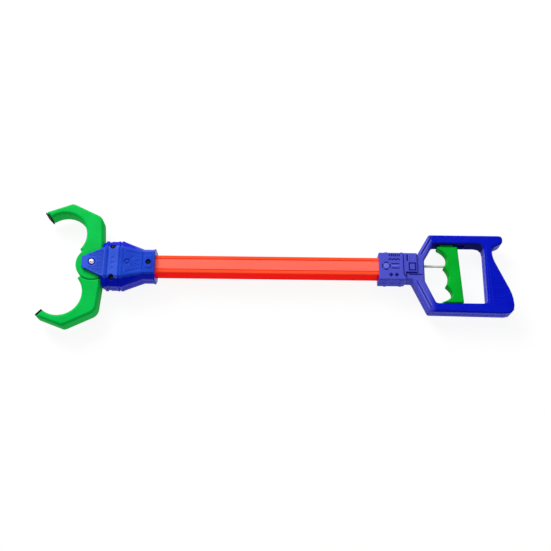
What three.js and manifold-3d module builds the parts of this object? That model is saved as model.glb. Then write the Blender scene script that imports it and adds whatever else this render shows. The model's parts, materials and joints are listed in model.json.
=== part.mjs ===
// A toy claw grabber: a two-finger claw on a square tube, worked by a sliding trigger in a loop handle.
//
// The tool lies flat on its side. X runs from the claw to the handle, Y from the bottom bar of the
// handle to its top bar, and Z is the thickness, upwards. Everything is laid out in millimetres from
// the finger pivot on the middle plane; the last lines move the group so that its origin is the
// middle of the underside of its bounding box.
//
// Squeezing the trigger slides it, the pull rod and the cam slider towards the palm bar. The cam pin
// runs in a spiral slot in the tail of each finger, so both fingers close by the same angle.

import * as THREE from "three";
import { ConvexGeometry } from "three/addons/geometries/ConvexGeometry.js";
import { mergeVertices } from "three/addons/utils/BufferGeometryUtils.js";
import Module from "manifold-3d";

const wasm = await Module();
wasm.setup();

// ---------------------------------------------------------------- driving dimensions

const GAP = 0.3; // running and assembly clearance between neighbouring pieces
const JOIN = 0.2; // how far neighbouring stretches of one piece run into each other
const FRONT = 1;
const BACK = -1;

// Mechanism
const TRIGGER_TRAVEL = 13;
const CLOSING_ANGLE = THREE.MathUtils.degToRad(45.6); // each finger, from open to pads meeting
const PIN_START = 8.5; // distance from the pivot to the cam pin with the claw open
const PIN_RADIUS = 1.5;
const SLOT_HALF_WIDTH = PIN_RADIUS + 0.15;
const TAIL_HALF_WIDTH = 3.5;
const TAIL_THICKNESS = 5;
const ROD_RADIUS = 1.4;
const ROD_Y = 4.2; // the rod runs beside the tube's axis, clear of the screws on it

// Fingers
const HUB_RADIUS = 19.2;
const HUB_FACE_Z = 10.1;
const HUB_CLEARANCE_RADIUS = HUB_RADIUS + 2 * GAP;
const PIVOT_BOSS_RADIUS = 3;
const FINGER_HALF_THICKNESS = 10;
const FINGER_BEVEL = 2.2;
const GRASP_CENTRE = new THREE.Vector2(-35.3, 34.2);
const GRASP_RADIUS = 25.8;
const TIP_ANGLE = THREE.MathUtils.degToRad(134.2); // direction of the tip face from the pivot
const TIP_INNER = 74.5;
const TIP_OUTER = 84.4;
const PAD_THICKNESS = 1.6;

// Head
const HEAD_FACE_Z = 16.8;
const HEAD_RIM_Z = 8; // where the sloping flank meets the straight side
const HEAD_FACE_HALF = 16.3; // half the width of the flat face between the flanks
const RIDGE_HEIGHT = 0.6;
const HEAD_HALF_HEIGHT = 27.1;
const HEAD_BODY_START = 14;
const HEAD_BODY_END = 34.4;
const COLLAR_START = 57;
const COLLAR_END = 70;
const COLLAR_HALF_HEIGHT = 17.5;
const MOUTH_HALF_DEPTH = 11; // inside of the nose plates
const NOSE_FACE_Z = 15.2;
const HEAD_CAVITY_END = 45.5;
const HEAD_SCREW_X = 22.65;
const HEAD_SCREW_Y = 17.8;
const TUBE_SCREW_X = 62.9;

// Tube
const TUBE_HALF = 10.3;
const TUBE_WALL = 1.6;
const TUBE_START = 48.3;
const TUBE_END = 338;
const TUBE_GROOVE_Y = 6.1;
const SOCKET_HALF = TUBE_HALF + GAP;

// Neck and handle
const NECK_START = 318.6;
const NECK_END = 349;
const NECK_STEP_END = 361.6; // the neck's upper part runs on to here
const NECK_STEP_BOTTOM = -7.2;
const NECK_HALF_HEIGHT = 16;
const NECK_HALF_DEPTH = 12.2;
const NECK_SCREW_X = 327;
const HANDLE_HALF_DEPTH = 9.6;
const WALL = 2.2;
const WINDOW_LEFT = 369.8;
const WINDOW_TOP = 28.4;
const WINDOW_BOTTOM = -41.3;
const WINDOW_RIGHT = 438.1;

// Trigger
const TRIGGER_HALF_DEPTH = 6;
const TRIGGER_TOP = 26.3;
const TRIGGER_BOTTOM = -39.9;
const TONGUE_HALF_DEPTH = 3.5;
const TONGUE_START = 389;
const TONGUE_END = 404;

// Screws
const SCREW_RADIUS = 1.2;
const SCREW_HEAD_RADIUS = 2.5;
const SCREW_HEAD_HEIGHT = 1.6;
const RECESS_RADIUS = 3;
const BORE_RADIUS = SCREW_RADIUS + GAP;

const HANDLE_SCREWS = [
  [381.5, 33.4],
  [441, 33.4],
  [447.4, -12],
  [456, -45],
  [382.5, -46.5],
  [359, -9.5],
];

// ---------------------------------------------------------------- colours and finishes

const MATERIALS = {
  green: new THREE.MeshStandardMaterial({ color: 0x05c350, roughness: 0.38, metalness: 0 }),
  triggerGreen: new THREE.MeshStandardMaterial({ color: 0x00b432, roughness: 0.4, metalness: 0 }),
  blue: new THREE.MeshStandardMaterial({ color: 0x1428c8, roughness: 0.42, metalness: 0 }),
  red: new THREE.MeshStandardMaterial({ color: 0xf5402a, roughness: 0.22, metalness: 0 }),
  rubber: new THREE.MeshStandardMaterial({ color: 0x141414, roughness: 0.85, metalness: 0 }),
  nylon: new THREE.MeshStandardMaterial({ color: 0xe4e4dc, roughness: 0.5, metalness: 0 }),
  steel: new THREE.MeshStandardMaterial({ color: 0xc9cbce, roughness: 0.25, metalness: 1 }),
  blackSteel: new THREE.MeshStandardMaterial({ color: 0x1c1c1e, roughness: 0.5, metalness: 0.6 }),
};

// ---------------------------------------------------------------- solids

function solidOf(geometry) {
  const bare = geometry.clone();
  bare.deleteAttribute("normal");
  bare.deleteAttribute("uv");
  const merged = mergeVertices(bare, 1e-4);
  return new wasm.Manifold(
    new wasm.Mesh({
      numProp: 3,
      vertProperties: merged.attributes.position.array,
      triVerts: new Uint32Array(merged.index.array),
    }),
  );
}

function geometryOf(solid) {
  const mesh = solid.getMesh();
  const geometry = new THREE.BufferGeometry();
  geometry.setAttribute("position", new THREE.BufferAttribute(mesh.vertProperties, 3));
  geometry.setIndex(new THREE.BufferAttribute(mesh.triVerts, 1));
  geometry.computeVertexNormals();
  return geometry;
}

function box(x0, x1, y0, y1, z0, z1) {
  const geometry = new THREE.BoxGeometry(x1 - x0, y1 - y0, z1 - z0);
  geometry.translate((x0 + x1) / 2, (y0 + y1) / 2, (z0 + z1) / 2);
  return solidOf(geometry);
}

// A round pillar along Z between two heights, given in either order.
function pillar(x, y, radius, zA, zB, segments = 16) {
  const geometry = new THREE.CylinderGeometry(radius, radius, Math.abs(zB - zA), segments);
  geometry.rotateX(Math.PI / 2);
  geometry.translate(x, y, (zA + zB) / 2);
  return solidOf(geometry);
}

// A round bar along X.
function bar(y, z, radius, x0, x1, segments = 12) {
  const geometry = new THREE.CylinderGeometry(radius, radius, x1 - x0, segments);
  geometry.rotateZ(Math.PI / 2);
  geometry.translate((x0 + x1) / 2, y, z);
  return solidOf(geometry);
}

// A flat outline given a thickness between two heights.
function prism(shape, zA, zB, curveSegments = 6) {
  const depth = Math.abs(zB - zA);
  const geometry = new THREE.ExtrudeGeometry(shape, { depth, bevelEnabled: false, curveSegments });
  geometry.translate(0, 0, Math.min(zA, zB));
  return solidOf(geometry);
}

// The same, centred on the middle plane, with its edges bevelled or its outline moved inwards.
function plate(shape, halfDepth, { bevel = 0, inset = 0, curveSegments = 6 }) {
  const geometry = new THREE.ExtrudeGeometry(shape, {
    depth: 2 * (halfDepth - bevel),
    bevelEnabled: true,
    bevelThickness: bevel,
    bevelSize: bevel,
    bevelOffset: -bevel - inset,
    bevelSegments: 1,
    curveSegments,
  });
  geometry.translate(0, 0, bevel - halfDepth);
  return solidOf(geometry);
}

// A closed outline of straight sides; each corner is [x, y, rounding].
function roundedOutline(corners, path = new THREE.Shape()) {
  corners.forEach(([x, y, radius = 0], i) => {
    const corner = new THREE.Vector2(x, y);
    const previous = corners.at(i - 1);
    const following = corners[(i + 1) % corners.length];
    const back = new THREE.Vector2(previous[0], previous[1]).sub(corner).normalize();
    const ahead = new THREE.Vector2(following[0], following[1]).sub(corner).normalize();
    const halfAngle = Math.acos(THREE.MathUtils.clamp(back.dot(ahead), -1, 1)) / 2;
    const reach = radius / Math.tan(halfAngle);
    const start = corner.clone().addScaledVector(back, reach);
    const end = corner.clone().addScaledVector(ahead, reach);
    if (i === 0) path.moveTo(start.x, start.y);
    else path.lineTo(start.x, start.y);
    if (radius > 0) path.quadraticCurveTo(x, y, end.x, end.y);
  });
  path.closePath();
  return path;
}

// The same corners, rounded only where the curve is wide enough to be moved inwards by a distance.
function roundedOnlyBeyond(distance, corners) {
  return corners.map(([x, y, radius]) => [x, y, radius > 2 * distance ? radius : 0]);
}

function union(solids) {
  return solids.reduce((whole, solid) => whole.add(solid));
}

// The front or back half of a solid, half a clearance short of the middle plane.
function halfOf(solid, side) {
  const near = side * (GAP / 2);
  const far = side * 60;
  return solid.intersect(box(-200, 700, -200, 200, Math.min(near, far), Math.max(near, far)));
}

// ---------------------------------------------------------------- fasteners

// A screw that enters from one face: its head rests at seatZ and its shank runs to tipZ.
function screw(x, y, seatZ, tipZ, headRadius = SCREW_HEAD_RADIUS, shankRadius = SCREW_RADIUS) {
  const outwards = Math.sign(seatZ - tipZ);
  const headTop = SCREW_HEAD_HEIGHT;
  const profile = [
    new THREE.Vector2(0, -Math.abs(seatZ - tipZ)),
    new THREE.Vector2(shankRadius, -Math.abs(seatZ - tipZ) + shankRadius),
    new THREE.Vector2(shankRadius, 0),
    new THREE.Vector2(headRadius, 0),
    new THREE.Vector2(headRadius, headTop * 0.5),
    new THREE.Vector2(headRadius * 0.7, headTop),
    new THREE.Vector2(0, headTop),
  ];
  const geometry = new THREE.LatheGeometry(profile, 14);
  geometry.rotateX((outwards * Math.PI) / 2);
  geometry.translate(x, y, seatZ);
  const slotHalf = headRadius * 0.62;
  const slotWidth = 0.3;
  const slotFloor = seatZ + outwards * headTop * 0.4;
  const slotTop = seatZ + outwards * headTop * 1.5;
  const low = Math.min(slotFloor, slotTop);
  const high = Math.max(slotFloor, slotTop);
  return solidOf(geometry)
    .subtract(box(x - slotHalf, x + slotHalf, y - slotWidth, y + slotWidth, low, high))
    .subtract(box(x - slotWidth, x + slotWidth, y - slotHalf, y + slotHalf, low, high));
}

// A hollow boss that guides a screw through a shell, with a wider cup under its recess.
function screwBoss(x, y, side, bossRadius, cupRadius, cupFrom, cupTo) {
  return pillar(x, y, bossRadius, side * (GAP / 2), side * cupTo).add(
    pillar(x, y, cupRadius, side * cupFrom, side * cupTo, 24),
  );
}

// ---------------------------------------------------------------- fingers

// The cam pin's path in the upper finger: the angle grows in step with the distance from the pivot.
function camPath(share) {
  const distance = PIN_START + TRIGGER_TRAVEL * share;
  const angle = -CLOSING_ANGLE * share;
  return new THREE.Vector2(distance * Math.cos(angle), distance * Math.sin(angle));
}

// A band of even width along the cam path, with round ends.
function camBand(halfWidth) {
  const steps = 12;
  const capSteps = 6;
  const right = [];
  const left = [];
  for (let i = 0; i <= steps; i++) {
    const share = i / steps;
    const point = camPath(share);
    const along = camPath(share + 0.01).sub(camPath(share - 0.01)).normalize();
    const across = new THREE.Vector2(along.y, -along.x).multiplyScalar(halfWidth);
    right.push(point.clone().add(across));
    left.unshift(point.clone().sub(across));
  }
  const cap = (share, first) => {
    const centre = camPath(share);
    const arm = first.clone().sub(centre);
    return Array.from({ length: capSteps - 1 }, (_, i) =>
      arm.clone().rotateAround(new THREE.Vector2(), ((i + 1) * Math.PI) / capSteps).add(centre),
    );
  };
  return new THREE.Shape([...right, ...cap(1, right.at(-1)), ...left, ...cap(0, left.at(-1))]);
}

// The outline of the upper finger, from the hub round the grasp and the tip and back down its spine.
function fingerOutline() {
  const tipDirection = new THREE.Vector2(Math.cos(TIP_ANGLE), Math.sin(TIP_ANGLE));
  const setBack = new THREE.Vector2(Math.sin(TIP_ANGLE), -Math.cos(TIP_ANGLE));
  setBack.multiplyScalar(PAD_THICKNESS + GAP);
  const tipOuter = tipDirection.clone().multiplyScalar(TIP_OUTER).add(setBack);
  const shape = new THREE.Shape();
  shape.moveTo(10.8, 8);
  shape.lineTo(10, 27);
  shape.lineTo(8.2, 49.5);
  shape.quadraticCurveTo(7.6, 55.4, 2.4, 58.4);
  shape.lineTo(-25.4, 71.8);
  shape.lineTo(-28.8, 72.6);
  shape.lineTo(tipOuter.x, tipOuter.y);
  const graspStart = THREE.MathUtils.degToRad(127);
  const graspEnd = THREE.MathUtils.degToRad(-41);
  shape.absarc(GRASP_CENTRE.x, GRASP_CENTRE.y, GRASP_RADIUS, graspStart, graspEnd, true);
  shape.lineTo(-9, 8);
  shape.closePath();
  return shape;
}

// The room that the cam slider's arms sweep, seen from the upper finger.
function sliderSweep() {
  const halfStrip = 4.8;
  const reach = 30;
  const along = new THREE.Vector2(Math.cos(CLOSING_ANGLE), -Math.sin(CLOSING_ANGLE));
  const across = new THREE.Vector2(along.y, -along.x);
  const nearEnd = along.clone().multiplyScalar(1.5).addScaledVector(across, halfStrip);
  const farEnd = along.clone().multiplyScalar(reach).addScaledVector(across, halfStrip);
  return new THREE.Shape([
    new THREE.Vector2(1.5, halfStrip),
    new THREE.Vector2(reach, halfStrip),
    new THREE.Vector2(reach * 1.2, -reach / 2),
    farEnd,
    nearEnd,
  ]);
}

// Both fingers are one moulding: the lower one is the upper one turned over about X.
function finger() {
  const layerFloor = GAP / 2 + 0.05;
  const body = plate(fingerOutline(), FINGER_HALF_THICKNESS, { bevel: FINGER_BEVEL, curveSegments: 12 });
  const hubProfile = [
    new THREE.Vector2(0, layerFloor),
    new THREE.Vector2(HUB_RADIUS, layerFloor),
    new THREE.Vector2(HUB_RADIUS, HUB_FACE_Z - 1),
    new THREE.Vector2(HUB_RADIUS - 1, HUB_FACE_Z),
    new THREE.Vector2(0, HUB_FACE_Z),
  ];
  const hub = solidOf(new THREE.LatheGeometry(hubProfile, 40).rotateX(Math.PI / 2));
  return body
    .subtract(pillar(0, 0, HUB_CLEARANCE_RADIUS, -20, layerFloor, 40))
    .add(hub)
    .add(prism(camBand(TAIL_HALF_WIDTH), layerFloor, TAIL_THICKNESS))
    .subtract(prism(sliderSweep(), TAIL_THICKNESS, 20))
    .subtract(prism(camBand(SLOT_HALF_WIDTH), -1, 20))
    .subtract(pillar(0, 0, PIVOT_BOSS_RADIUS + GAP, -1, 20, 28));
}

// The rubber pad on the tip face; its outer side reaches the line through the pivot.
function tipPad() {
  const halfDepth = FINGER_HALF_THICKNESS - 1.2;
  const pad = box(TIP_INNER + 0.2, TIP_OUTER - 0.4, -PAD_THICKNESS, 0, -halfDepth, halfDepth);
  const geometry = geometryOf(pad);
  geometry.rotateZ(TIP_ANGLE);
  return solidOf(geometry);
}

// ---------------------------------------------------------------- cam slider, rod and spring

const PIN_X = PIN_START;
const SLIDER_ARM_Z = TAIL_THICKNESS + GAP;
const SLIDER_HALF_DEPTH = 7.5;
const BLOCK_START = PIN_X + 12;
const BLOCK_END = PIN_X + 18;

// A fork: two arms outside the finger tails, joined by a block that holds the rod.
function camSlider() {
  const armHalf = 4;
  const armOutline = roundedOutline([
    [PIN_X - armHalf, -armHalf, 2.5],
    [BLOCK_START + 1, -armHalf, 0],
    [BLOCK_START + 1, armHalf, 0],
    [PIN_X - armHalf, armHalf, 2.5],
  ]);
  return box(BLOCK_START, BLOCK_END, -7, 7, -SLIDER_HALF_DEPTH, SLIDER_HALF_DEPTH)
    .add(prism(armOutline, SLIDER_ARM_Z, SLIDER_HALF_DEPTH))
    .add(prism(armOutline, -SLIDER_ARM_Z, -SLIDER_HALF_DEPTH))
    .subtract(pillar(PIN_X, 0, PIN_RADIUS + GAP, -20, 20))
    .subtract(bar(ROD_Y, 0, ROD_RADIUS + GAP, BLOCK_START + 2, BLOCK_END + 1));
}

const ROD_START = BLOCK_START + 2 + GAP;
const ROD_END = 400;
const COLLAR_X = 341.4;
const COLLAR_LENGTH = 2.2;
const SPRING_START = COLLAR_X + COLLAR_LENGTH + GAP;
const SPRING_END = WINDOW_LEFT - WALL - GAP;

function springCollar() {
  return bar(ROD_Y, 0, 3.6, COLLAR_X, COLLAR_X + COLLAR_LENGTH, 24).subtract(
    bar(ROD_Y, 0, ROD_RADIUS + GAP, COLLAR_X - 1, COLLAR_X + COLLAR_LENGTH + 1),
  );
}

class SpringLine extends THREE.Curve {
  constructor(start, end, coilRadius, turns) {
    super();
    Object.assign(this, { start, end, coilRadius, turns });
  }
  getPoint(share, target = new THREE.Vector3()) {
    const angle = share * this.turns * 2 * Math.PI;
    const x = THREE.MathUtils.lerp(this.start, this.end, share);
    const y = ROD_Y + this.coilRadius * Math.cos(angle);
    return target.set(x, y, this.coilRadius * Math.sin(angle));
  }
}

function returnSpring() {
  const wire = 0.4;
  const turns = 6;
  const stepsPerTurn = 10;
  const line = new SpringLine(SPRING_START + wire, SPRING_END - wire, 2.7, turns);
  const section = new THREE.Shape().absarc(0, 0, wire, 0, 2 * Math.PI, false);
  return solidOf(
    new THREE.ExtrudeGeometry(section, {
      extrudePath: line,
      steps: turns * stepsPerTurn,
      curveSegments: 3,
      bevelEnabled: false,
    }),
  );
}

// ---------------------------------------------------------------- head

// The eight corners of the head's cross-section: straight sides, sloping flanks and a flat face.
function headSection(x, halfHeight, faceHalf, faceZ) {
  const points = [];
  for (const y of [-1, 1]) {
    for (const z of [-1, 1]) {
      points.push(new THREE.Vector3(x, y * halfHeight, z * HEAD_RIM_Z));
      points.push(new THREE.Vector3(x, y * faceHalf, z * faceZ));
    }
  }
  return points;
}

function between(sectionA, sectionB) {
  return solidOf(new ConvexGeometry([...sectionA, ...sectionB]));
}

// A stretch of the thick part of the head whose surface stands out or in by an amount.
function headBand(from, to, raised) {
  const halfHeight = HEAD_HALF_HEIGHT - RIDGE_HEIGHT + raised;
  const faceHalf = HEAD_FACE_HALF + raised / 2;
  const section = (x) => headSection(x, halfHeight, faceHalf, HEAD_FACE_Z + raised / 2);
  return between(section(from), section(to));
}

function headOutside() {
  const collar = (x) => headSection(x, COLLAR_HALF_HEIGHT, 12.2, HEAD_FACE_Z - RIDGE_HEIGHT);
  const lip = (x) => headSection(x, COLLAR_HALF_HEIGHT + 0.7, 12.4, HEAD_FACE_Z);
  const shoulderFront = headSection(10.9, HEAD_HALF_HEIGHT - 2.4, 15.6, NOSE_FACE_Z + 0.2);
  const shoulderBack = headSection(HEAD_BODY_START + JOIN, HEAD_HALF_HEIGHT - 1.4, 16, 16);
  const taperStart = headSection(HEAD_BODY_END - JOIN, HEAD_HALF_HEIGHT - RIDGE_HEIGHT, HEAD_FACE_HALF, 16.5);
  return union([
    between(shoulderFront, shoulderBack),
    headBand(HEAD_BODY_START, HEAD_BODY_END, -RIDGE_HEIGHT),
    headBand(HEAD_BODY_START, 17.4, RIDGE_HEIGHT),
    headBand(20, 27.4, 0),
    headBand(27.4, 30.2, RIDGE_HEIGHT),
    headBand(31.2, HEAD_BODY_END, RIDGE_HEIGHT),
    between(taperStart, collar(COLLAR_START)),
    between(collar(COLLAR_START - JOIN), collar(COLLAR_END)),
    between(lip(COLLAR_END - 2.2), lip(COLLAR_END)),
  ]);
}

// The mouth between the nose plates, and the room behind it where the tails and the slider move.
function headCavity() {
  const section = (x, halfHeight) => {
    const points = [];
    for (const y of [-1, 1]) {
      for (const z of [-1, 1]) {
        points.push(new THREE.Vector3(x, y * halfHeight, z * 7.6));
        points.push(new THREE.Vector3(x, y * (halfHeight - 3.8), z * MOUTH_HALF_DEPTH));
      }
    }
    return points;
  };
  return union([
    between(section(-30, 23.4), section(HEAD_BODY_END, 23.4)),
    between(section(HEAD_BODY_END - 0.1, 23.4), section(HEAD_CAVITY_END, 19)),
    bar(ROD_Y, 0, ROD_RADIUS + 0.8, HEAD_CAVITY_END - 1, TUBE_START + 1),
    box(TUBE_START - GAP, COLLAR_END + 1, -SOCKET_HALF, SOCKET_HALF, -SOCKET_HALF, SOCKET_HALF),
  ]);
}

function nosePlate(side) {
  const outline = roundedOutline([
    [-11.3, -6, 1],
    [10.8, -16.4, 0],
    [14.2, -16.4, 0],
    [14.2, 16.4, 0],
    [10.8, 16.4, 0],
    [-11.3, 6, 1],
  ]);
  const thrustRingRadius = 6;
  return prism(outline, side * MOUTH_HALF_DEPTH, side * NOSE_FACE_Z)
    .add(pillar(0, 0, thrustRingRadius, side * (HUB_FACE_Z + GAP), side * (MOUTH_HALF_DEPTH + 1), 28))
    .add(pillar(0, 0, PIVOT_BOSS_RADIUS, side * (GAP / 2), side * (MOUTH_HALF_DEPTH + 1), 28));
}

const PIVOT_SCREW_RADIUS = 1.4;
const PIVOT_HEAD_RADIUS = 3.2;
const PIVOT_SEAT_Z = NOSE_FACE_Z - 1.2;
const HEAD_SCREW_SEAT_Z = 11.5;
const TUBE_SCREW_SEAT_Z = 13;

function headShell(side) {
  let shell = halfOf(headOutside().subtract(headCavity()), side).add(nosePlate(side));
  for (const y of [-HEAD_SCREW_Y, HEAD_SCREW_Y]) {
    shell = shell
      .add(screwBoss(HEAD_SCREW_X, y, side, 3, 4.2, 9.6, 12.5))
      .subtract(pillar(HEAD_SCREW_X, y, BORE_RADIUS, side * -1, side * 14));
    if (side === FRONT) shell = shell.subtract(pillar(HEAD_SCREW_X, y, RECESS_RADIUS, HEAD_SCREW_SEAT_Z, 30));
  }
  const pivotBore = PIVOT_SCREW_RADIUS + GAP;
  shell = shell.subtract(pillar(0, 0, pivotBore, side * -1, side * (side === FRONT ? 30 : 13.4)));
  if (side === BACK) return shell;
  return shell
    .subtract(pillar(0, 0, PIVOT_HEAD_RADIUS + 1, PIVOT_SEAT_Z, 30, 28))
    .subtract(pillar(TUBE_SCREW_X, 0, BORE_RADIUS, 9, 30))
    .subtract(pillar(TUBE_SCREW_X, 0, RECESS_RADIUS, TUBE_SCREW_SEAT_Z, 30));
}

// ---------------------------------------------------------------- tube and its plugs

function tube() {
  const inner = TUBE_HALF - TUBE_WALL;
  const section = (half, rounding) =>
    roundedOutline([
      [-half, -half, rounding],
      [half, -half, rounding],
      [half, half, rounding],
      [-half, half, rounding],
    ]);
  const alongX = (shape, x0, x1) => {
    const geometry = new THREE.ExtrudeGeometry(shape, {
      depth: x1 - x0,
      bevelEnabled: false,
      curveSegments: 3,
    });
    geometry.rotateX(Math.PI / 2);
    geometry.rotateZ(Math.PI / 2);
    geometry.translate(x0, 0, 0);
    return solidOf(geometry);
  };
  let body = alongX(section(TUBE_HALF, 1.4), TUBE_START, TUBE_END);
  body = body.subtract(alongX(section(inner, 0.6), TUBE_START - 1, TUBE_END + 1));
  const grooveDepth = 0.5;
  for (const y of [-TUBE_GROOVE_Y, TUBE_GROOVE_Y]) {
    for (const face of [FRONT, BACK]) {
      const floor = face * (TUBE_HALF - grooveDepth);
      const low = Math.min(floor, face * 20);
      const high = Math.max(floor, face * 20);
      body = body.subtract(box(TUBE_START - 1, TUBE_END + 1, y - 0.6, y + 0.6, low, high));
    }
  }
  return body
    .subtract(pillar(TUBE_SCREW_X, 0, BORE_RADIUS, 5, 20))
    .subtract(pillar(NECK_SCREW_X, 0, BORE_RADIUS, -5, -20));
}

// A block pressed into the tube's end: it guides the rod and takes the screw that holds the tube.
function tubePlug(x0, x1, screwX, side) {
  const half = TUBE_HALF - TUBE_WALL - GAP;
  return box(x0, x1, -half, half, -half, half)
    .subtract(bar(ROD_Y, 0, ROD_RADIUS + GAP, x0 - 1, x1 + 1))
    .subtract(pillar(screwX, 0, BORE_RADIUS, side * 3.4, side * 20));
}

// ---------------------------------------------------------------- handle

// Both outlines run anticlockwise.
const HANDLE_CORNERS = [
  [346, -15.4, 0],
  [356, -15.4, 2],
  [372.8, -51.4, 3],
  [467.06, -52.8, 9.6],
  [466.8, -32, 46],
  [446.7, 13, 30],
  [446.7, 24.2, 5.6],
  [459.3, 29.8, 5.5],
  [459.6, 39, 4.3],
  [376.2, 39.1, 3],
  [362.4, 15.4, 2],
  [346, 15.4, 0],
];

const WINDOW_CORNERS = [
  [WINDOW_LEFT, -16, 3],
  [381.2, WINDOW_BOTTOM, 4],
  [WINDOW_RIGHT, WINDOW_BOTTOM, 5],
  [WINDOW_RIGHT, WINDOW_TOP, 9],
  [381.2, WINDOW_TOP, 3],
  [WINDOW_LEFT, 8.4, 2],
];

function handleOutside() {
  const outline = roundedOutline(HANDLE_CORNERS);
  outline.holes.push(roundedOutline(WINDOW_CORNERS, new THREE.Path()));
  const neckOutline = [
    [NECK_START, -NECK_HALF_HEIGHT, 1],
    [NECK_END, -NECK_HALF_HEIGHT, 1],
    [NECK_END, NECK_HALF_HEIGHT, 1],
    [NECK_START, NECK_HALF_HEIGHT, 1],
  ];
  const neckStep = [
    [NECK_END - 2, NECK_STEP_BOTTOM, 1],
    [NECK_STEP_END, NECK_STEP_BOTTOM, 1],
    [NECK_STEP_END, NECK_HALF_HEIGHT, 1],
    [NECK_END - 2, NECK_HALF_HEIGHT, 1],
  ];
  const ridge = (x0, x1) => box(x0, x1, -NECK_HALF_HEIGHT - 0.8, NECK_HALF_HEIGHT + 0.8, -11, 11);
  return union([
    plate(outline, HANDLE_HALF_DEPTH, { bevel: 1.6, curveSegments: 3 }),
    plate(roundedOutline(neckOutline), NECK_HALF_DEPTH, { bevel: 0.9, curveSegments: 2 }),
    plate(roundedOutline(neckStep), NECK_HALF_DEPTH - 0.2, { bevel: 0.9, curveSegments: 2 }),
    ridge(325, 329),
    ridge(342.6, 346),
  ]);
}

function handleCavity() {
  const outline = roundedOutline(roundedOnlyBeyond(WALL, HANDLE_CORNERS));
  outline.holes.push(roundedOutline(roundedOnlyBeyond(Infinity, WINDOW_CORNERS), new THREE.Path()));
  const springRoomHalf = HANDLE_HALF_DEPTH - WALL;
  const slotHalf = TONGUE_HALF_DEPTH + GAP;
  const slotStart = TONGUE_START - 2 * GAP;
  const slotEnd = TONGUE_END + TRIGGER_TRAVEL + 2 * GAP;
  return union([
    plate(outline, HANDLE_HALF_DEPTH - WALL, { inset: WALL }),
    box(340.2, 352, -12.4, 12.4, -springRoomHalf, springRoomHalf),
    box(NECK_START - 1, TUBE_END + GAP, -SOCKET_HALF, SOCKET_HALF, -SOCKET_HALF, SOCKET_HALF),
    bar(ROD_Y, 0, ROD_RADIUS + 0.5, TUBE_END - 1, WINDOW_LEFT + 1),
    box(slotStart, slotEnd, WINDOW_TOP - 1, WINDOW_TOP + WALL + 1, -slotHalf, slotHalf),
    box(slotStart, slotEnd, WINDOW_BOTTOM - WALL - 1, WINDOW_BOTTOM + 1, -slotHalf, slotHalf),
  ]);
}

const HANDLE_SCREW_SEAT_Z = -7.2;
const NECK_SCREW_SEAT_Z = -11;

function handleShell(side) {
  let shell = halfOf(handleOutside().subtract(handleCavity()), side);
  for (const [x, y] of HANDLE_SCREWS) {
    const inside = side * (HANDLE_HALF_DEPTH - WALL + 0.5);
    shell = shell.add(pillar(x, y, 3.2, side * (GAP / 2), inside));
    if (side === FRONT) {
      shell = shell.subtract(pillar(x, y, BORE_RADIUS, -1, 6.4));
    } else {
      shell = shell
        .add(pillar(x, y, 4, -5, inside, 24))
        .subtract(pillar(x, y, BORE_RADIUS, 1, -20))
        .subtract(pillar(x, y, RECESS_RADIUS, HANDLE_SCREW_SEAT_Z, -30));
    }
  }
  if (side === FRONT) return shell;
  return shell
    .subtract(pillar(NECK_SCREW_X, 0, BORE_RADIUS, -9, -30))
    .subtract(pillar(NECK_SCREW_X, 0, RECESS_RADIUS, NECK_SCREW_SEAT_Z, -30));
}

// ---------------------------------------------------------------- trigger

// The front edge runs down over four noses with a finger hollow between each two.
const TRIGGER_NOSES = [
  [386, 23.6],
  [391.9, 2],
  [393.4, -19.8],
  [391, -38.2],
];
const HOLLOW_FLOORS = [
  [395.8, 14],
  [397.2, -8.9],
  [400, -30.4],
];

function triggerOutline() {
  const shape = new THREE.Shape();
  shape.moveTo(412.4, TRIGGER_BOTTOM);
  shape.lineTo(408.6, TRIGGER_TOP);
  shape.lineTo(385.2, TRIGGER_TOP);
  shape.lineTo(...TRIGGER_NOSES[0]);
  HOLLOW_FLOORS.forEach((floor, i) => {
    const from = TRIGGER_NOSES[i];
    const to = TRIGGER_NOSES[i + 1];
    const control = floor.map((value, axis) => 2 * value - (from[axis] + to[axis]) / 2);
    shape.quadraticCurveTo(...control, ...to);
  });
  shape.lineTo(389.2, TRIGGER_BOTTOM);
  shape.closePath();
  return shape;
}

// A tongue at each end runs in a slot of the loop's top and bottom bars.
function trigger() {
  const overlap = 2;
  const tongue = (y0, y1) =>
    box(TONGUE_START, TONGUE_END, y0, y1, -TONGUE_HALF_DEPTH, TONGUE_HALF_DEPTH);
  return plate(triggerOutline(), TRIGGER_HALF_DEPTH, { bevel: 1, curveSegments: 8 })
    .add(tongue(TRIGGER_TOP - overlap, WINDOW_TOP + 6))
    .add(tongue(WINDOW_BOTTOM - 6.4, TRIGGER_BOTTOM + overlap))
    .subtract(bar(ROD_Y, 0, ROD_RADIUS + GAP, 380, ROD_END + GAP));
}

// ---------------------------------------------------------------- assembly

const grabber = new THREE.Group();

function addNode(name, solid, material) {
  const mesh = new THREE.Mesh(geometryOf(solid), material);
  mesh.name = name;
  grabber.add(mesh);
  return mesh;
}

addNode("head_shell_front", headShell(FRONT), MATERIALS.blue);
addNode("head_shell_back", headShell(BACK), MATERIALS.blue);
addNode(
  "pivot_screw",
  screw(0, 0, PIVOT_SEAT_Z + GAP, -12.6, PIVOT_HEAD_RADIUS, PIVOT_SCREW_RADIUS),
  MATERIALS.steel,
);
for (const [name, y] of [
  ["head_screw_top", HEAD_SCREW_Y],
  ["head_screw_bottom", -HEAD_SCREW_Y],
]) {
  addNode(name, screw(HEAD_SCREW_X, y, HEAD_SCREW_SEAT_Z + GAP, -12), MATERIALS.blackSteel);
}

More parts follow.
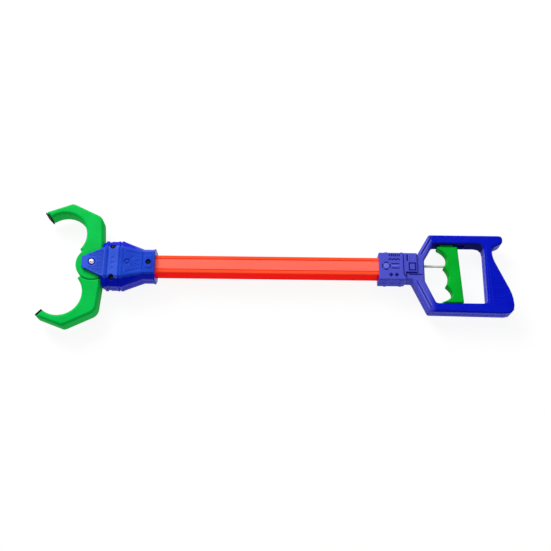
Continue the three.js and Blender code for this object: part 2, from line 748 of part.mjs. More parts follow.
addNode("upper_finger", finger(), MATERIALS.green);
addNode("upper_tip_pad", tipPad(), MATERIALS.rubber);
for (const [name, solid, material] of [
  ["lower_finger", finger(), MATERIALS.green],
  ["lower_tip_pad", tipPad(), MATERIALS.rubber],
]) {
  addNode(name, solid, material).rotation.x = Math.PI;
}

addNode("cam_slider", camSlider(), MATERIALS.nylon);
addNode(
  "cam_pin",
  pillar(PIN_X, 0, PIN_RADIUS, -SLIDER_HALF_DEPTH - 0.5, SLIDER_HALF_DEPTH + 0.5),
  MATERIALS.steel,
);
addNode("pull_rod", bar(ROD_Y, 0, ROD_RADIUS, ROD_START, ROD_END), MATERIALS.nylon);
addNode("spring_collar", springCollar(), MATERIALS.nylon);
addNode("return_spring", returnSpring(), MATERIALS.steel);

addNode("tube", tube(), MATERIALS.red);
addNode("tube_plug_head", tubePlug(TUBE_START + 1, 68, TUBE_SCREW_X, FRONT), MATERIALS.nylon);
addNode("tube_plug_handle", tubePlug(320, TUBE_END - 1, NECK_SCREW_X, BACK), MATERIALS.nylon);
addNode("tube_screw_head", screw(TUBE_SCREW_X, 0, TUBE_SCREW_SEAT_Z + GAP, 4), MATERIALS.blackSteel);
addNode("tube_screw_handle", screw(NECK_SCREW_X, 0, NECK_SCREW_SEAT_Z - GAP, -4), MATERIALS.steel);

addNode("handle_shell_front", handleShell(FRONT), MATERIALS.blue);
addNode("handle_shell_back", handleShell(BACK), MATERIALS.blue);
addNode("trigger", trigger(), MATERIALS.triggerGreen);
HANDLE_SCREWS.forEach(([x, y], i) => {
  addNode(`handle_screw_${i + 1}`, screw(x, y, HANDLE_SCREW_SEAT_Z - GAP, 5), MATERIALS.steel);
});

grabber.updateMatrixWorld(true);
const bounds = new THREE.Box3().setFromObject(grabber, true);
const middle = bounds.getCenter(new THREE.Vector3());
grabber.position.set(-middle.x, -middle.y, -bounds.min.z);

export default grabber;
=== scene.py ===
import json
import math

import bmesh
import bpy
import numpy as np
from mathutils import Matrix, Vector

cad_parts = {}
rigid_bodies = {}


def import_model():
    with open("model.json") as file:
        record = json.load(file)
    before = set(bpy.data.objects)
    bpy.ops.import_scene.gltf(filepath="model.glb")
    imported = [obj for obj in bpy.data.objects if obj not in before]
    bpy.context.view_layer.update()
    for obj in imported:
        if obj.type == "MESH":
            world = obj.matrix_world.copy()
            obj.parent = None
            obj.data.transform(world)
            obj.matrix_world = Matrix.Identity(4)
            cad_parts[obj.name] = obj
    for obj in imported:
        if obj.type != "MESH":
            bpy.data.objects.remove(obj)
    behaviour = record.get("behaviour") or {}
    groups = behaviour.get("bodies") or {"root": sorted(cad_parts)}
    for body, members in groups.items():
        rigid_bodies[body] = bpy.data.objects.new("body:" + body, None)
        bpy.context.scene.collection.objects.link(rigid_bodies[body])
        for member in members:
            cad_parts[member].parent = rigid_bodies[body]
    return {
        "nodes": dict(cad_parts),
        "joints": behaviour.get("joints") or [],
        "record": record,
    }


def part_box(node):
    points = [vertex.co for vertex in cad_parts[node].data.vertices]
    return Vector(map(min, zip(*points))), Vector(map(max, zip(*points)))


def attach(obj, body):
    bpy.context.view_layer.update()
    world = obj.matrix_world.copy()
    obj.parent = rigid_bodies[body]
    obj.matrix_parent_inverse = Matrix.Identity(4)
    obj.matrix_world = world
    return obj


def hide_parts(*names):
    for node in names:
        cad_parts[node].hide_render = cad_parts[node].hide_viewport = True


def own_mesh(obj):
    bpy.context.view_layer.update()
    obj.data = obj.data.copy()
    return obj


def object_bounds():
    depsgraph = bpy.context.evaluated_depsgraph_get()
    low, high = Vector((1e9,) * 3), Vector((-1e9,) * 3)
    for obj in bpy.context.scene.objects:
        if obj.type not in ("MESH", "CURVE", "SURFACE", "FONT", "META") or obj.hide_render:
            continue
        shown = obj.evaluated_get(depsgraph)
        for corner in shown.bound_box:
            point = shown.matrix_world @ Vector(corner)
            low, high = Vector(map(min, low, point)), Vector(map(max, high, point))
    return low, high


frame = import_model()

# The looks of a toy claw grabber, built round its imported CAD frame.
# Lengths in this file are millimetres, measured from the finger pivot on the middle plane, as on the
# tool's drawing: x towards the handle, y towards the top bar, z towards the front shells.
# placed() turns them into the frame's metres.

import openvdb
from mathutils import Matrix, Vector

CAD_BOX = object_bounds()
MM = 0.001
JOINTS = {joint["name"]: joint for joint in frame["joints"]}
PIVOT = Vector(JOINTS["upper_finger_pivot"]["pos_m"])
BODY_OF = {
    node: body for body, nodes in frame["record"]["behaviour"]["bodies"].items() for node in nodes
}
SLOT_OF = {row["node"]: row["material_slot"] for row in frame["record"]["subparts"]}
FRONT, BACK = 1, -1


def placed(x, y, z):
    """A drawing point, in millimetres from the pivot, as a point of the frame in metres."""
    return PIVOT + Vector((x, y, z)) * MM


def drawn(point):
    """A point of the frame, in metres, in millimetres from the pivot."""
    return (Vector(point) - PIVOT) / MM


# ---------------------------------------------------------------- camera

def make_camera():
    tilt = math.radians(19.8)       # off the tool's face, looking up from the bottom bar's side
    roll = math.radians(0.68)
    distance = 962.0
    aim = placed(203.9, -8.65, 0)
    data = bpy.data.cameras.new("camera")
    data.lens = 56.1
    data.sensor_width = 36.0
    data.clip_end = 20.0
    camera = bpy.data.objects.new("camera", data)
    bpy.context.scene.collection.objects.link(camera)
    backwards = Vector((0, -math.sin(tilt), math.cos(tilt)))
    camera.location = aim + backwards * distance * MM
    turn = backwards.to_track_quat("Z", "Y").to_matrix() @ Matrix.Rotation(roll, 3, "Z")
    camera.rotation_euler = turn.to_euler()
    bpy.context.scene.camera = camera


make_camera()


# ---------------------------------------------------------------- materials

def node_material(name):
    material = bpy.data.materials.new(name)
    material.use_nodes = True
    tree = material.node_tree
    tree.nodes.clear()
    output = tree.nodes.new("ShaderNodeOutputMaterial")
    shader = tree.nodes.new("ShaderNodeBsdfPrincipled")
    tree.links.new(shader.outputs["BSDF"], output.inputs["Surface"])
    return material, tree, shader


def noise(tree, scale, detail=3.0, roughness=0.5, stretch=(1, 1, 1)):
    """Noise over the object's own coordinates; scale is in cycles per metre."""
    coordinates = tree.nodes.new("ShaderNodeTexCoord")
    mapping = tree.nodes.new("ShaderNodeMapping")
    mapping.inputs["Scale"].default_value = stretch
    texture = tree.nodes.new("ShaderNodeTexNoise")
    texture.inputs["Scale"].default_value = scale
    texture.inputs["Detail"].default_value = detail
    texture.inputs["Roughness"].default_value = roughness
    tree.links.new(coordinates.outputs["Object"], mapping.inputs["Vector"])
    tree.links.new(mapping.outputs["Vector"], texture.inputs["Vector"])
    return texture.outputs["Fac"]


def ramp(tree, value, low, high, from_low=0.35, from_high=0.65):
    """value spread from its middle range to the range low..high."""
    spread = tree.nodes.new("ShaderNodeMapRange")
    spread.inputs["From Min"].default_value = from_low
    spread.inputs["From Max"].default_value = from_high
    spread.inputs["To Min"].default_value = low
    spread.inputs["To Max"].default_value = high
    tree.links.new(value, spread.inputs["Value"])
    return spread.outputs["Result"]


def mix_colour(tree, share, first, second):
    mix = tree.nodes.new("ShaderNodeMix")
    mix.data_type = "RGBA"
    tree.links.new(share, mix.inputs["Factor"])
    for socket, colour in ((mix.inputs["A"], first), (mix.inputs["B"], second)):
        if isinstance(colour, tuple):
            socket.default_value = (*colour, 1.0)
        else:
            tree.links.new(colour, socket)
    return mix.outputs["Result"]


def product(tree, first, second):
    times = tree.nodes.new("ShaderNodeMath")
    times.operation = "MULTIPLY"
    tree.links.new(first, times.inputs[0])
    tree.links.new(second, times.inputs[1])
    return times.outputs["Value"]


def edge_mask(tree, low=0.57, high=0.67):
    """One on convex edges, nought elsewhere: where edge wear goes, and on plastics a painted highlight too.
    """
    geometry = tree.nodes.new("ShaderNodeNewGeometry")
    return ramp(tree, geometry.outputs["Pointiness"], 0.0, 1.0, low, high)


def hollow_shade_mask(tree, low=0.42, high=0.47):
    """One in sunk marks and inside corners, nought on flat faces and outside edges: where painted shade goes.
    """
    geometry = tree.nodes.new("ShaderNodeNewGeometry")
    return ramp(tree, geometry.outputs["Pointiness"], 1.0, 0.0, low, high)


def bump(tree, shader, heights, distance):
    """Chains several height fields into the shader's normal; heights is a list of (value, strength)."""
    normal = None
    for value, strength in heights:
        node = tree.nodes.new("ShaderNodeBump")
        node.inputs["Strength"].default_value = strength
        node.inputs["Distance"].default_value = distance
        tree.links.new(value, node.inputs["Height"])
        if normal:
            tree.links.new(normal, node.inputs["Normal"])
        normal = node.outputs["Normal"]
    tree.links.new(normal, shader.inputs["Normal"])


def object_axis(tree, axis):
    """One of the object's own coordinates, in metres."""
    coordinates = tree.nodes.new("ShaderNodeTexCoord")
    split = tree.nodes.new("ShaderNodeSeparateXYZ")
    tree.links.new(coordinates.outputs["Object"], split.inputs["Vector"])
    return split.outputs[axis]


def absolute(tree, value):
    node = tree.nodes.new("ShaderNodeMath")
    node.operation = "ABSOLUTE"
    tree.links.new(value, node.inputs[0])
    return node.outputs["Value"]


def left_bar_mask(tree):
    """One on the front and back faces of the handle's neck and left bars, fading out along the other bars;
    the mask of the painted sheen.
    """
    fade_start = PIVOT.x + 372 * MM
    fade_end = PIVOT.x + 380 * MM
    across = ramp(tree, object_axis(tree, "X"), 1.0, 0.0, fade_start, fade_end)
    geometry = tree.nodes.new("ShaderNodeNewGeometry")
    split = tree.nodes.new("ShaderNodeSeparateXYZ")
    tree.links.new(geometry.outputs["Normal"], split.inputs["Vector"])
    facing = ramp(tree, absolute(tree, split.outputs["Z"]), 0.0, 1.0, 0.3, 0.6)
    return product(tree, across, facing)


def moulded_plastic(name, colour, deep, wear_highlight_colour, gloss, sheen, lacquer, stipple=0.01, painted_sheen=None):
    """Injection-moulded plastic: slightly mottled, with orange peel, painted shade in its hollows, and pale
    edges that are partly wear and partly painted highlight.

    gloss is the roughness, sheen the strength of the main reflection and lacquer that of the coat's.
    painted_sheen is a second, paler colour and the mask where it shows: a painted sheen, for a face that is
    rougher in the mould.
    """
    material, tree, shader = node_material(name)
    mottle = ramp(tree, noise(tree, 45, 3), 0.0, 1.0)
    body = mix_colour(tree, mottle, colour, deep)
    if painted_sheen:
        sheen_colour, mask = painted_sheen
        body = mix_colour(tree, mask(tree), body, sheen_colour)
    # Painted shade: hollows and inside corners are darkened towards a third of the deep colour.
    body = mix_colour(tree, hollow_shade_mask(tree), body, tuple(0.3 * channel for channel in deep))
    scuffs = ramp(tree, noise(tree, 900, 4, 0.7), 0.25, 1.0, 0.4, 0.7)
    wear_and_highlight = product(tree, edge_mask(tree), scuffs)
    # Pale edges: partly wear, partly painted highlight where light catches the rounded edges.
    tree.links.new(mix_colour(tree, wear_and_highlight, body, wear_highlight_colour), shader.inputs["Base Color"])
    smears = ramp(tree, noise(tree, 160, 5, 0.65, (1, 2.5, 1)), gloss - 0.05, gloss + 0.07)
    tree.links.new(smears, shader.inputs["Roughness"])
    tree.links.new(smears, shader.inputs["Coat Roughness"])
    heights = [(noise(tree, 900, 2), 0.01), (noise(tree, 3200, 2), stipple)]
    bump(tree, shader, heights, 0.0002)
    shader.inputs["Specular IOR Level"].default_value = sheen
    shader.inputs["Coat Weight"].default_value = lacquer
    shader.inputs["IOR"].default_value = 1.49
    return material


def band_mask(tree, axis, centre, inner, outer):
    """One where the object coordinate is within inner of centre, fading to nought at outer; metres."""
    offset = tree.nodes.new("ShaderNodeMath")
    offset.operation = "SUBTRACT"
    offset.inputs[1].default_value = centre
    tree.links.new(object_axis(tree, axis), offset.inputs[0])
    return ramp(tree, absolute(tree, offset.outputs["Value"]), 1.0, 0.0, inner, outer)


TUBE_GROOVE_Y = 6.1


def tube_plastic(name):
    """Red plastic with a thin gloss, paler between the grooves and deep on the sides.

    The paler middle and the orange strips beside it are painted reflection and the lines at the grooves
    painted shade; these and the deep sides are painted on by position. A little red light of its own stands
    in for plastic that lets light through.
    """
    material, tree, shader = node_material(name)
    mottle = ramp(tree, noise(tree, 30, 2, 0.5, (0.3, 1, 1)), 0.0, 1.0)
    deep = mix_colour(tree, mottle, (0.9, 0.004, 0.002), (0.84, 0.002, 0.001))
    # Painted reflection: the pale middle and the orange strips beside it.
    pale_reflection = mix_colour(tree, mottle, (0.95, 0.155, 0.105), (0.92, 0.135, 0.09))
    edge = mix_colour(tree, mottle, (0.88, 0.085, 0.025), (0.8, 0.07, 0.02))
    middle = band_mask(tree, "Y", PIVOT.y, 5.5 * MM, 6.3 * MM)
    side = band_mask(tree, "Z", PIVOT.z, 9.0 * MM, 10.0 * MM)
    face = mix_colour(tree, middle, edge, pale_reflection)
    # Painted shade: darker lines along the grooves' floors.
    for groove_y in (-TUBE_GROOVE_Y, TUBE_GROOVE_Y):
        line = band_mask(tree, "Y", PIVOT.y + groove_y * MM, 0.25 * MM, 0.65 * MM)
        face = mix_colour(tree, line, face, (0.58, 0.045, 0.018))
    body = mix_colour(tree, side, face, deep)
    wear_and_highlight = product(tree, edge_mask(tree), ramp(tree, noise(tree, 700, 4, 0.7), 0.0, 1.0, 0.5, 0.75))
    # Pale edges: partly wear, partly painted highlight.
    tree.links.new(mix_colour(tree, wear_and_highlight, body, (0.95, 0.2, 0.12)), shader.inputs["Base Color"])
    lines = noise(tree, 900, 2, 0.5, (0.02, 1, 1))
    tree.links.new(ramp(tree, lines, 0.14, 0.26), shader.inputs["Roughness"])
    bump(tree, shader, [(lines, 0.03), (noise(tree, 300, 2), 0.02)], 0.0002)
    shader.inputs["Specular IOR Level"].default_value = 0.0
    shader.inputs["Coat Weight"].default_value = 0.05
    shader.inputs["Coat Roughness"].default_value = 0.08
    shader.inputs["IOR"].default_value = 1.5
    shader.inputs["Emission Color"].default_value = (1.0, 0.0, 0.0, 1.0)
    shader.inputs["Emission Strength"].default_value = 0.2
    return material


def rubber(name):
    material, tree, shader = node_material(name)
    body = mix_colour(tree, ramp(tree, noise(tree, 300, 3), 0, 1), (0.008, 0.008, 0.009), (0.02, 0.02, 0.022))
    tree.links.new(body, shader.inputs["Base Color"])
    tree.links.new(ramp(tree, noise(tree, 900, 3), 0.65, 0.9), shader.inputs["Roughness"])
    bump(tree, shader, [(noise(tree, 2500, 3), 0.2)], 0.0003)
    shader.inputs["Specular IOR Level"].default_value = 0.1
    return material


def nylon(name):
    material, tree, shader = node_material(name)
    body = mix_colour(tree, ramp(tree, noise(tree, 120, 3), 0, 1), (0.66, 0.66, 0.63), (0.52, 0.52, 0.5))
    tree.links.new(body, shader.inputs["Base Color"])
    tree.links.new(ramp(tree, noise(tree, 500, 4), 0.35, 0.55), shader.inputs["Roughness"])
    bump(tree, shader, [(noise(tree, 1200, 2), 0.08)], 0.0003)
    return material


def plated_steel(name):
    """Bright plated steel with fine turning marks and small dull patches."""
    material, tree, shader = node_material(name)
    patches = ramp(tree, noise(tree, 700, 4, 0.6), 0, 1)
    body = mix_colour(tree, patches, (0.88, 0.88, 0.9), (0.66, 0.67, 0.69))
    tree.links.new(body, shader.inputs["Base Color"])
    tree.links.new(ramp(tree, noise(tree, 1500, 4), 0.2, 0.36), shader.inputs["Roughness"])
    bump(tree, shader, [(noise(tree, 3000, 2), 0.06)], 0.0002)
    shader.inputs["Metallic"].default_value = 1.0
    return material


def black_oxide(name):
    """Blackened steel with a dull sheen and a little bare metal on its edges."""
    material, tree, shader = node_material(name)
    body = mix_colour(tree, ramp(tree, noise(tree, 800, 4), 0, 1), (0.012, 0.012, 0.014), (0.03, 0.03, 0.033))
    scuffs = product(tree, edge_mask(tree), ramp(tree, noise(tree, 1600, 4), 0, 0.6, 0.5, 0.8))
    tree.links.new(mix_colour(tree, scuffs, body, (0.3, 0.3, 0.31)), shader.inputs["Base Color"])
    tree.links.new(ramp(tree, noise(tree, 1500, 4), 0.4, 0.6), shader.inputs["Roughness"])
    bump(tree, shader, [(noise(tree, 3000, 2), 0.08)], 0.0002)
    shader.inputs["Metallic"].default_value = 0.5
    shader.inputs["Specular IOR Level"].default_value = 0.2
    return material


MATERIALS = {
    "claw_green": moulded_plastic(
        "claw_green", (0.001, 0.5, 0.07), (0.0, 0.44, 0.055), (0.08, 0.66, 0.22),
        gloss=0.24, sheen=0.0, lacquer=0.1,
    ),
    "trigger_green": moulded_plastic(
        "trigger_green", (0.0, 0.42, 0.026), (0.0, 0.36, 0.02), (0.06, 0.6, 0.16),
        gloss=0.26, sheen=0.0, lacquer=0.08,
    ),
    "shell_blue": moulded_plastic(
        "shell_blue", (0.001, 0.008, 0.52), (0.0, 0.005, 0.46), (0.17, 0.2, 0.85),
        gloss=0.22, sheen=0.03, lacquer=0.05,
    ),
    "tube_red": tube_plastic("tube_red"),
    "pad_rubber": rubber("pad_rubber"),
    "nylon_white": nylon("nylon_white"),
    "screw_steel": plated_steel("screw_steel"),
    "screw_black": black_oxide("screw_black"),
}
# Painted sheen: the head's faces, the neck and the handle's left bars are given paler, duller blues that
# stand in for light reflected off a rougher mould face.
HANDLE_BLUE = moulded_plastic(
    "shell_blue_handle", (0.001, 0.008, 0.52), (0.0, 0.005, 0.46), (0.19, 0.22, 0.85),
    gloss=0.25, sheen=0.03, lacquer=0.05, stipple=0.03,
    painted_sheen=((0.067, 0.075, 0.53), left_bar_mask),
)
HEAD_BLUE = moulded_plastic(
    "shell_blue_head", (0.01, 0.056, 0.53), (0.007, 0.042, 0.47), (0.2, 0.26, 0.88),
    gloss=0.28, sheen=0.03, lacquer=0.05, stipple=0.03,
)
# Painted sheen, paler still, on the nose plate and the raised band of the head.
BAND_BLUE = moulded_plastic(
    "shell_blue_band", (0.034, 0.094, 0.62), (0.024, 0.074, 0.56), (0.24, 0.3, 0.9),
    gloss=0.32, sheen=0.03, lacquer=0.05, stipple=0.04,
)
# Painted highlight: a paler blue on the raised lines on the handle, standing in for light catching them.
RAISED_LINE_HIGHLIGHT_BLUE = moulded_plastic(
    "shell_blue_rubbed", (0.14, 0.15, 0.68), (0.11, 0.12, 0.62), (0.26, 0.3, 0.9),
    gloss=0.3, sheen=0.03, lacquer=0.05, stipple=0.02,
)
# Painted shade: a dark blue on the floors of the narrow grooves and on the inner wall over the trigger, where
# shade falls.
PAINTED_SHADE_BLUE = moulded_plastic(
    "shell_blue_groove", (0.012, 0.013, 0.15), (0.008, 0.009, 0.12), (0.06, 0.07, 0.4),
    gloss=0.45, sheen=0.0, lacquer=0.01,
)


# ---------------------------------------------------------------- solids for added detail

def solid_mesh(bm, name):
    mesh = bpy.data.meshes.new(name)
    bmesh.ops.recalc_face_normals(bm, faces=bm.faces)
    bm.to_mesh(mesh)
    bm.free()
    return mesh


def prism(outline, z0, z1):
    """A solid with a flat outline, between two heights."""
    bm = bmesh.new()
    bottom = [bm.verts.new(placed(x, y, z0)) for x, y in outline]
    face = bm.faces.new(bottom)
    made = bmesh.ops.extrude_face_region(bm, geom=[face])
    top = [v for v in made["geom"] if isinstance(v, bmesh.types.BMVert)]
    bmesh.ops.translate(bm, verts=top, vec=Vector((0, 0, (z1 - z0) * MM)))
    return solid_mesh(bm, "prism")


def circle(x, y, radius, steps=40):
    return [
        (x + radius * math.cos(2 * math.pi * i / steps), y + radius * math.sin(2 * math.pi * i / steps))
        for i in range(steps)
    ]


def ring_segment(x, y, inner, outer, start, end, steps=8):
    def arc(radius, a, b):
        return [
            (x + radius * math.cos(a + (b - a) * i / steps), y + radius * math.sin(a + (b - a) * i / steps))
            for i in range(steps + 1)
        ]
    return arc(outer, start, end) + arc(inner, end, start)


def stroke(points, width):
    """The outline of a line of even width through points, with mitred bends and square ends."""
    points = [Vector(p) for p in points]
    left, right = [], []
    for i, point in enumerate(points):
        before = (point - points[i - 1]).normalized() if i else None
        after = (points[i + 1] - point).normalized() if i + 1 < len(points) else None
        along = ((before or after) + (after or before)).normalized()
        across = Vector((-along.y, along.x))
        reach = width / 2 / max(0.35, along.dot(after or before))
        left.append(tuple(point + across * reach))
        right.append(tuple(point - across * reach))
    return left + right[::-1]


def block(x0, x1, y0, y1):
    return [(x0, y0), (x1, y0), (x1, y1), (x0, y1)]


# ---------------------------------------------------------------- moulding the CAD solids

def combined(mesh, others, operation):
    """mesh with other closed solids joined to it or cut from it."""
    base = bpy.data.objects.new("base", mesh)
    bpy.context.scene.collection.objects.link(base)
    tools = bpy.data.collections.new("tools")
    bpy.context.scene.collection.children.link(tools)
    for other in others:
        tools.objects.link(bpy.data.objects.new("tool", other))
    modifier = base.modifiers.new("cut", "BOOLEAN")
    modifier.operation = operation
    modifier.operand_type = "COLLECTION"
    modifier.collection = tools
    modifier.solver = "MANIFOLD"
    bpy.context.view_layer.update()
    graph = bpy.context.evaluated_depsgraph_get()
    result = bpy.data.meshes.new_from_object(base.evaluated_get(graph))
    result.materials.clear()
    for tool in list(tools.objects):
        bpy.data.objects.remove(tool)
    bpy.data.collections.remove(tools)
    bpy.data.objects.remove(base)
    return result


def welded(mesh):
    """A copy of a mesh with its doubled vertices merged."""
    bm = bmesh.new()
    bm.from_mesh(mesh)
    bmesh.ops.remove_doubles(bm, verts=bm.verts, dist=0.002 * MM)
    bmesh.ops.triangulate(bm, faces=bm.faces)
    copy = bpy.data.meshes.new(mesh.name + "_welded")
    bm.to_mesh(copy)
    bm.free()
    return copy


def rolled(mesh, radius, voxel, adaptivity):
    """The mesh with every outside edge rounded by a ball of that radius, as a mould leaves it.

    The solid is shrunk by the radius and grown again, as a level set, so flat faces stay where they are.
    """
    count = len(mesh.vertices)
    points = np.empty(count * 3, np.float32)
    mesh.vertices.foreach_get("co", points)
    triangles = np.empty(len(mesh.polygons) * 3, np.uint32)
    mesh.polygons.foreach_get("vertices", triangles)
    transform = openvdb.createLinearTransform(voxelSize=voxel)
    band = radius / voxel + 3
    grid = openvdb.FloatGrid.createLevelSetFromPolygons(
        points.reshape(-1, 3) / MM, triangles=triangles.reshape(-1, 3), transform=transform, halfWidth=band
    )
    points, _, quads = grid.convertToPolygons(isovalue=-radius, adaptivity=0)
    grid = openvdb.FloatGrid.createLevelSetFromPolygons(
        points, quads=quads, transform=transform, halfWidth=band
    )
    points, triangles, quads = grid.convertToPolygons(isovalue=radius, adaptivity=adaptivity)
    result = bpy.data.meshes.new(mesh.name + "_rolled")
    faces = [tuple(map(int, f[::-1])) for f in quads] + [tuple(map(int, f[::-1])) for f in triangles]
    result.from_pydata((points * MM).tolist(), [], faces)
    result.validate()
    bm = bmesh.new()
    bm.from_mesh(result)
    bmesh.ops.recalc_face_normals(bm, faces=bm.faces)
    bm.to_mesh(result)
    bm.free()
    return result


def moulded(node, radius=0.5, voxel=0.3, raised=(), cut=(), adaptivity=0.02, zones=()):
    """A finished piece that stands for a CAD node: its solid with detail added and its edges rounded.

    zones is a list of (material, test). A mesh face takes the last material whose test its middle and
    normal pass. Whole faces are taken, so a border across large ones is stepped.
    """
    mesh = welded(frame["nodes"][node].data)
    if raised:
        mesh = combined(mesh, raised, "UNION")
    if cut:
        mesh = combined(mesh, cut, "DIFFERENCE")
    mesh = rolled(welded(mesh), radius, voxel, adaptivity)
    mesh.materials.append(MATERIALS[SLOT_OF[node]])
    for number, (material, test) in enumerate(zones):
        mesh.materials.append(material)
        for polygon in mesh.polygons:
            if test(drawn(polygon.center), polygon.normal):
                polygon.material_index = number + 1
    return finished(mesh, node, "_moulded")


def finished(mesh, node, ending):
    """A smooth-shaded piece made from a mesh, which stands for a CAD node and moves with it."""
    if not mesh.materials:
        mesh.materials.append(MATERIALS[SLOT_OF[node]])
    piece = bpy.data.objects.new(node + ending, mesh)
    bpy.context.scene.collection.objects.link(piece)
    for polygon in mesh.polygons:
        polygon.use_smooth = True
    normals = piece.modifiers.new("normals", "WEIGHTED_NORMAL")
    normals.keep_sharp = True
    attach(piece, BODY_OF[node])
    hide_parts(node)
    return piece


# ---------------------------------------------------------------- the head

BAND_FACE = 16.8        # the raised band round the head
PANEL_FACE = 16.4       # the face behind the bands, at its middle
COLLAR_FACE = 16.2
NOSE_FACE = 15.2
MARK_DEPTH = 0.7
NOSE_END = 14.6
TUBE_SCREW_X = 62.9


class Face:
    """Raised and sunk marks on a shell's flat face; the marks of FRONT and BACK mirror each other."""

    def __init__(self, side):
        self.side = side
        self.raised = []
        self.cut = []

    def raise_mark(self, outline, level, height=0.4):
        self.raised.append(prism(outline, *sorted((self.side * (level - 1.0), self.side * (level + height)))))

    def sink_mark(self, outline, level, depth=MARK_DEPTH):
        self.cut.append(prism(outline, *sorted((self.side * (level - depth), self.side * (level + 3.0)))))


def stipple(face):
    """A diamond grid of small pits over the nose plate, clear of the pivot screw."""
    pitch = 1.9
    row_spacing = 0.87      # as a share of the pitch
    pit = 0.62
    pit_depth = 0.6
    first_x, last_x = -3.4, 12.6
    tip_x, tip_half_height, edge_slope = -11.3, 6.0, 0.46
    plate_half_height = 15.6
    plain_rim = 1.6
    screw_clearance = 6.4
    for row in range(-9, 10):
        for column in range(-7, 9):
            x = (column + 0.5 * (row % 2)) * pitch
            y = row * pitch * row_spacing
            plate_edge = min(tip_half_height + (x - tip_x) * edge_slope, plate_half_height)
            on_plate = first_x <= x <= last_x and abs(y) <= plate_edge - plain_rim
            if not on_plate or math.hypot(x, y) < screw_clearance:
                continue
            face.sink_mark([(x - pit, y), (x, y - pit), (x + pit, y), (x, y + pit)], NOSE_FACE, pit_depth)


def head_marks(side):
    """The head's moulded marks: pits, dimples, a ring and panel lines, with no lettering."""
    face = Face(side)
    stipple(face)
    for y in (-8.4, -2.2, 4.0):
        face.sink_mark(circle(23.4, y, 1.5), BAND_FACE, 0.5)
    for start in (0, math.pi):
        ring = ring_segment(39.2, 0, 1.6, 3.2, start - 0.05, start + math.pi + 0.05, 16)
        face.sink_mark(ring, PANEL_FACE, 1.0)
    for sign in (-1, 1):
        line = lambda points: [(x, sign * y) for x, y in points]
        face.raise_mark(stroke(line([(36.7, 15.0), (36.7, 8.6)]), 1.0), PANEL_FACE, 0.3)
        face.sink_mark(stroke(line([(38.6, 12.0), (46, 10.6), (54.6, 8.2)]), 0.9), PANEL_FACE, 0.45)
        face.sink_mark(stroke(line([(43.6, 3.0), (47.4, 6.0)]), 0.9), PANEL_FACE, 0.4)
        face.raise_mark(stroke(line([(47.6, 1.4), (53.6, 3.4)]), 0.9), PANEL_FACE, 0.25)
    face.sink_mark(block(56.2, 57.2, -10.2, 10.2), COLLAR_FACE)
    face.raise_mark(block(58.6, 66.8, -7.2, 7.2), COLLAR_FACE, 0.45)
    if side == FRONT:
        face.sink_mark(circle(TUBE_SCREW_X, 0, 3.0), COLLAR_FACE, 2.6)
    return face


def head_shell(node, side):
    face = head_marks(side)
    band_start, band_end = 18.2, 29.6

    def on_face(p, normal):
        return abs(p.z) > NOSE_FACE - 0.6

    # Painted sheen: the nose plate and the band get the palest blue.
    def bright(p, normal):
        return on_face(p, normal) and (p.x < NOSE_END or band_start < p.x < band_end)

    return moulded(
        node, radius=0.3, voxel=0.22, raised=face.raised, cut=face.cut,
        zones=[(HEAD_BLUE, on_face), (BAND_BLUE, bright)],
    )


# ---------------------------------------------------------------- the handle

NECK_FACE = 12.2
NECK_STEP_FACE = 12.0
LOOP_FACE = 9.6
NECK_SCREW_X = 327.0


def neck_marks(face):
    """Generic panel marks on the neck: a comb, a zigzag, bars, a ringed disc and two diamonds."""
    for i in range(6):
        x = 330.2 + 2.2 * i
        face.sink_mark(block(x, x + 1.1, 11.4, 14.1), NECK_FACE, 0.65)
    zigzag = [(329.6 + 2.1 * i, 7.9 + (0.7 if i % 2 else -0.7)) for i in range(7)]
    face.sink_mark(stroke(zigzag, 1.0), NECK_FACE, 0.65)
    for y in (2.6, -2.6):
        face.sink_mark(block(332.8, 341.6, y - 0.5, y + 0.5), NECK_FACE, 0.6)
    face.raise_mark(block(333.4, 341.2, -0.6, 0.6), NECK_FACE, 0.3)
    for i in range(4):
        middle = i * math.pi / 2
        face.sink_mark(
            ring_segment(NECK_SCREW_X, 0, 3.7, 4.8, middle - 0.56, middle + 0.56), NECK_FACE, 0.6
        )
    if face.side == FRONT:
        face.raise_mark(circle(NECK_SCREW_X, 0, 2.9), NECK_FACE, 0.35)
    for x in (332, 338.4):
        face.sink_mark(circle(x, -10.4, 2.4, steps=4), NECK_FACE, 0.6)


def neck_end(face):
    """Corner lines and a square panel where the neck runs on to the loop."""
    face.sink_mark(stroke([(346.4, 13.4), (346.4, -9.4), (348.6, -12.4)], 1.0), NECK_FACE, 0.6)
    face.sink_mark(block(349.9, 351.1, 6.2, 13.4), NECK_STEP_FACE, 0.8)
    face.raise_mark(block(351.9, 353, 6.2, 13.4), NECK_STEP_FACE, 0.4)
    rows = (block(352, 360, 3.2, 4.2), block(352, 360, -5, -4))
    columns = (block(352, 353, -4.5, 3.7), block(359, 360, -4.5, 3.7))
    for side in rows + columns:
        face.sink_mark(side, NECK_STEP_FACE, 0.55)


def along_bar(start, end, inset, trim):
    """A line inside a bar, at a distance from its outer edge (start to end), shortened at both ends."""
    start, end = Vector(start), Vector(end)
    along = (end - start).normalized()
    inwards = Vector((-along.y, along.x))
    return [tuple(start + along * trim + inwards * inset), tuple(end - along * trim + inwards * inset)]


